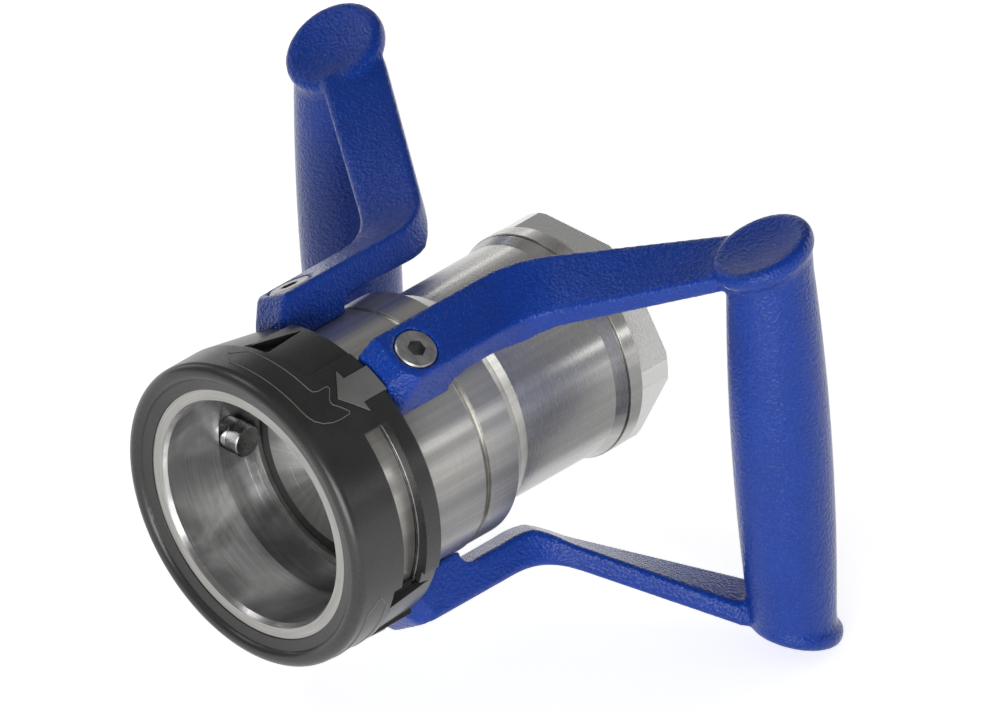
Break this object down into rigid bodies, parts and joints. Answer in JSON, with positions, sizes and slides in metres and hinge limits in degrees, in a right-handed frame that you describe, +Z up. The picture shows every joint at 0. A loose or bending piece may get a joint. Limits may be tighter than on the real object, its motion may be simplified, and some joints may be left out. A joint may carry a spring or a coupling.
{
  "type": "dry disconnect coupling",
  "caption": "Hose half of a dry disconnect coupling with upright grips, roller bore, sprung valve sleeve, bumper ring and swivelling female thread.",
  "frame": {"origin": "centre of the mouth, on the coupling axis at the plane of the mouth's steel face", "axes": "-Y out of the mouth towards the adapter, +Y towards the hose, +Z up along the grips, +X to the right-hand grip for someone behind the hose end looking at the adapter"},
  "size_m": [0.2081, 0.1448, 0.1405],
  "materials": {
    "blue_paint": "hammered gloss",
    "turned_steel": "turned",
    "ground_steel": "ground",
    "screw_steel": "satin",
    "spring_steel": "bright",
    "ring_moulding": "satin",
    "arrow_moulding": "satin",
    "seal_rubber": "matte",
    "wiper_plastic": "matte"
  },
  "bodies": {
    "head": {"front_body": "turned_steel", "bumper_ring": "ring_moulding", "ring_retaining_wire": "spring_steel", "arrow_markers": "arrow_moulding", "poppet": "ground_steel", "poppet_seal": "seal_rubber", "poppet_nut": "screw_steel", "guide_spider": "ground_steel", "spider_retaining_ring": "spring_steel", "main_spring": "spring_steel", "swivel_balls": "spring_steel", "ball_plug": "screw_steel", "handle_right": "blue_paint", "handle_left": "blue_paint", "roller_pin_1": "ground_steel", "roller_pin_2": "ground_steel", "roller_pin_3": "ground_steel", "handle_screw_upper_right": "screw_steel", "handle_screw_lower_right": "screw_steel", "handle_screw_lower_left": "screw_steel", "handle_screw_upper_left": "screw_steel"},
    "swivel": {"swivel_end": "turned_steel", "swivel_o_ring": "seal_rubber", "swivel_wiper": "wiper_plastic"},
    "sleeve": {"valve_sleeve": "ground_steel", "sleeve_lip_seal": "seal_rubber", "sleeve_o_ring": "seal_rubber"},
    "roller_1": {"roller_1": "ground_steel"},
    "roller_2": {"roller_2": "ground_steel"},
    "roller_3": {"roller_3": "ground_steel"}
  },
  "joints": [
    {"name": "hose_swivel", "type": "hinge", "parent": "head", "child": "swivel", "pos_m": [0, 0.0684, 0], "axis": [0, 1, 0], "continuous": true},
    {"name": "sleeve_slide", "type": "slide", "parent": "head", "child": "sleeve", "axis": [0, 1, 0], "range_m": [0, 0.008], "stiffness_N_per_m": 8000, "springref_m": -0.008, "deforming": ["main_spring"]},
    {"name": "roller_1_spin", "type": "hinge", "parent": "head", "child": "roller_1", "pos_m": [0.0175, 0.0274, 0.03031], "axis": [0.5, 0, 0.866], "continuous": true},
    {"name": "roller_2_spin", "type": "hinge", "parent": "head", "child": "roller_2", "pos_m": [0.0175, 0.0274, -0.03031], "axis": [0.5, 0, -0.866], "continuous": true},
    {"name": "roller_3_spin", "type": "hinge", "parent": "head", "child": "roller_3", "pos_m": [-0.035, 0.0274, 0], "axis": [-1, 0, 0], "continuous": true}
  ]
}
